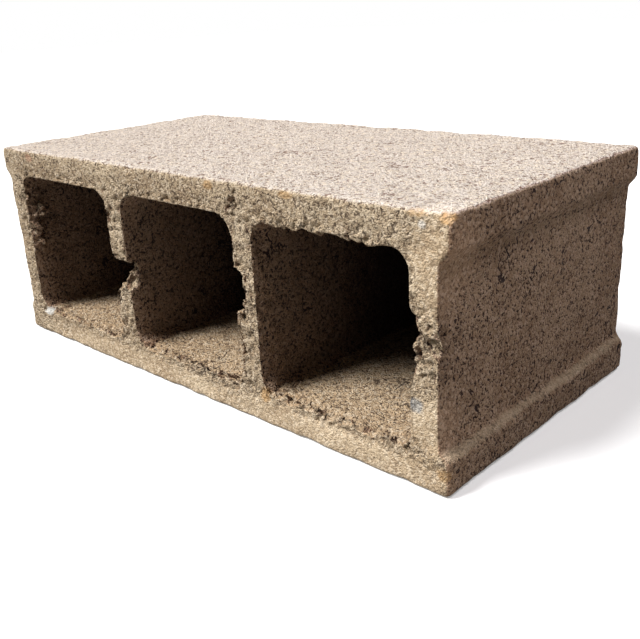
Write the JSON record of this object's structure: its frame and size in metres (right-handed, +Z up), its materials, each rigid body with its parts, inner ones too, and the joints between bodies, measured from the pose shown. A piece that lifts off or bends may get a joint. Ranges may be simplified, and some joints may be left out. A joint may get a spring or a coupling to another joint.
{
  "type": "hollow concrete block",
  "caption": "Worn hollow concrete masonry block lying on a face shell, with a row of blind rectangular cells open at one face and a shallow mortar recess in each end.",
  "frame": {"origin": "middle of the face that the block lies on", "axes": "+X along the block, away from the notched web; +Y from the open ends of the cells to their closed ends; +Z up through the two face shells"},
  "size_m": [0.39, 0.19, 0.14],
  "materials": {
    "concrete": "dry-cast sandy concrete, open granular texture, dusty and weathered, tan to grey-brown"
  },
  "bodies": {
    "root": {"concrete_block": "concrete"}
  },
  "joints": []
}
